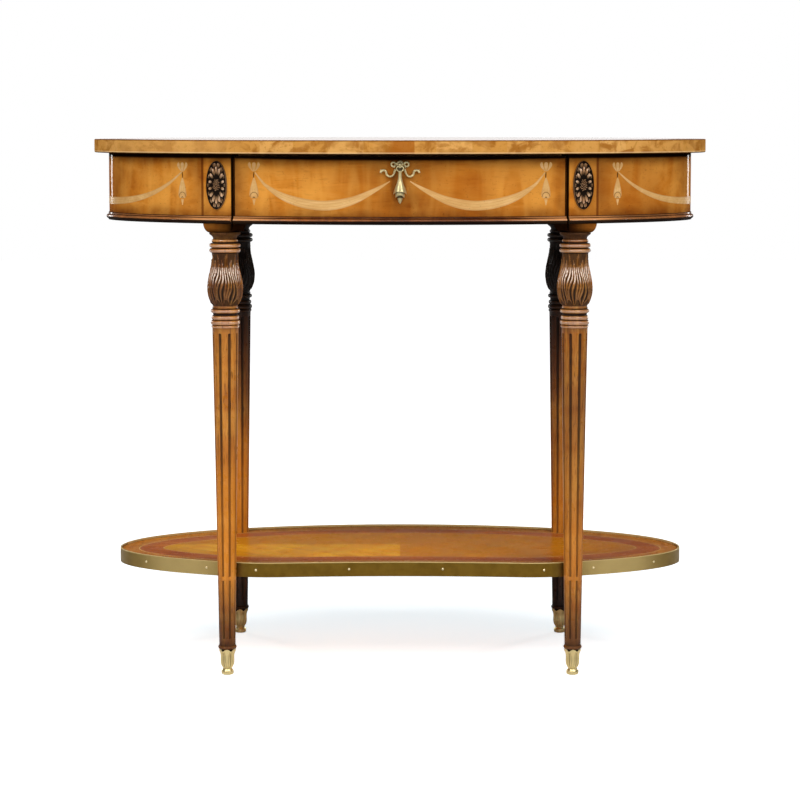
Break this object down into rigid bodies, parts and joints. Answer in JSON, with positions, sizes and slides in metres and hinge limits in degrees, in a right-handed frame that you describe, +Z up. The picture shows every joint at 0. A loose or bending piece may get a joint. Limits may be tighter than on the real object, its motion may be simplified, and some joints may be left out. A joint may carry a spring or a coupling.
{
  "type": "oval side table",
  "caption": "Oval side table with a bowed drawer, swag-inlaid apron, turned and fluted legs on brass feet, and a brass-banded kidney-shaped lower shelf.",
  "frame": {"origin": "on the floor under the middle of the top", "axes": "+Z up, +X along the long axis to the right of someone facing the drawer, the drawer faces -Y"},
  "size_m": [0.832, 0.432, 0.711],
  "materials": {
    "top_veneer": "polished golden veneer",
    "apron_veneer": "polished figured veneer",
    "leg_wood": "polished dark stained wood",
    "carved_wood": "carved and dark stained",
    "inner_wood": "plain sawn secondary wood",
    "brass": "antique brass"
  },
  "bodies": {
    "table": {"apron_back": "apron_veneer", "apron_end_left": "apron_veneer", "apron_end_right": "apron_veneer", "band_back": "brass", "band_front": "brass", "band_left": "brass", "band_right": "brass", "bead_back": "apron_veneer", "bead_left": "apron_veneer", "bead_right": "apron_veneer", "drawer_stops": "inner_wood", "front_rail_lower": "inner_wood", "front_rail_upper": "inner_wood", "glue_blocks": "inner_wood", "guide_left": "inner_wood", "guide_right": "inner_wood", "kicker_left": "inner_wood", "kicker_right": "inner_wood", "leg_front_left": "leg_wood", "leg_front_right": "leg_wood", "leg_rear_left": "leg_wood", "leg_rear_right": "leg_wood", "paterae": "carved_wood", "runner_left": "inner_wood", "runner_right": "inner_wood", "sabots": "brass", "shelf_board": "top_veneer", "shelf_tenons": "inner_wood", "table_top": "top_veneer"},
    "drawer": {"drawer_front": "apron_veneer", "drawer_bead": "apron_veneer", "drawer_side_left": "inner_wood", "drawer_side_right": "inner_wood", "drawer_back": "inner_wood", "drawer_bottom": "inner_wood", "pull_bow": "brass", "pull_screw": "brass"},
    "drop": {"pull_drop": "brass"}
  },
  "joints": [
    {"name": "drawer_slide", "type": "slide", "parent": "table", "child": "drawer", "axis": [0, -1, 0], "range_m": [0, 0.2]},
    {"name": "pull_swing", "type": "hinge", "parent": "drawer", "child": "drop", "pos_m": [0, -0.2062, 0.6775], "axis": [-1, 0, 0], "range_deg": [0, 80]}
  ]
}
